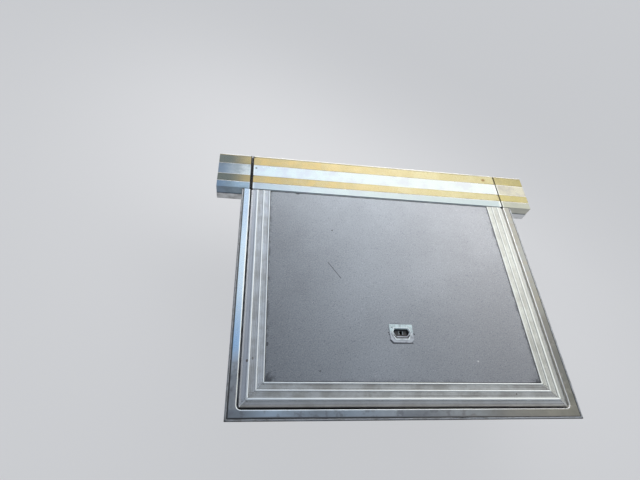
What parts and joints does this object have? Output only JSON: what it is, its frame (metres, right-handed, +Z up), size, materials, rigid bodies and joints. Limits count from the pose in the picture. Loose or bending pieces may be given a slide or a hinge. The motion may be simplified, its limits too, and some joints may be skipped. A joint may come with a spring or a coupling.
{
  "type": "fold-out wheelchair ramp for a bus doorway",
  "caption": "Hinged ramp plate with ribbed metal edges, floor covering and pull cup, lying flush in a rimmed floor tray behind a grit-stripped door sill; it folds outwards over the sill.",
  "frame": {"origin": "centre of the middle channel's four bolts, on the underside of its feet", "axes": "+X along the door sill, to the right for someone inside looking out; +Y out of the doorway; +Z up"},
  "size_m": [1.128, 0.888, 0.0801],
  "materials": {
    "tray_sheet": "mill finish sheet, dull",
    "channel_sheet": "mill finish folded sheet",
    "black_plastic": "moulded, matt",
    "rim_steel": "brushed stainless, worn",
    "seal_rubber": "matt black",
    "tread_sheet": "raised tread pattern, scuffed",
    "profile_aluminium": "extruded, worn and dirty between the ribs",
    "sill_aluminium": "extruded, bright and scuffed",
    "yellow_grit": "grit-coated strip, faded yellow",
    "pin_steel": "ground stainless",
    "core_board": "film-faced plywood",
    "floor_vinyl": "speckled blue-grey floor covering",
    "cup_zinc": "cast and plated, dull",
    "dark_grit": "black grit coating",
    "band_film": "yellow anti-slip film",
    "bush_plastic": "moulded bearing plastic"
  },
  "bodies": {
    "tray": {"pan": "tray_sheet", "channel_inner": "channel_sheet", "channel_middle": "channel_sheet", "channel_outer": "channel_sheet", "drain_spout_left": "black_plastic", "drain_spout_right": "black_plastic", "rim_flange": "rim_steel", "rim_gasket": "seal_rubber", "recess_tread": "tread_sheet", "rest_strips": "seal_rubber", "hinge_beam": "profile_aluminium", "sill_end_left": "sill_aluminium", "sill_end_right": "sill_aluminium", "sill_end_grit": "yellow_grit", "hinge_pin": "pin_steel", "pin_clips": "pin_steel"},
    "ramp": {"plate_core": "core_board", "edge_left": "profile_aluminium", "edge_right": "profile_aluminium", "edge_inner": "profile_aluminium", "floor_covering": "floor_vinyl", "ramp_sill": "sill_aluminium", "ramp_sill_grit": "yellow_grit", "pull_cup": "cup_zinc", "underside_tread": "dark_grit", "underside_bands": "band_film", "hinge_bushes": "bush_plastic"}
  },
  "joints": [
    {"name": "ramp_fold", "type": "hinge", "parent": "tray", "child": "ramp", "pos_m": [0, 0.507, 0.03], "axis": [-1, 0, 0], "range_deg": [0, 200]}
  ]
}
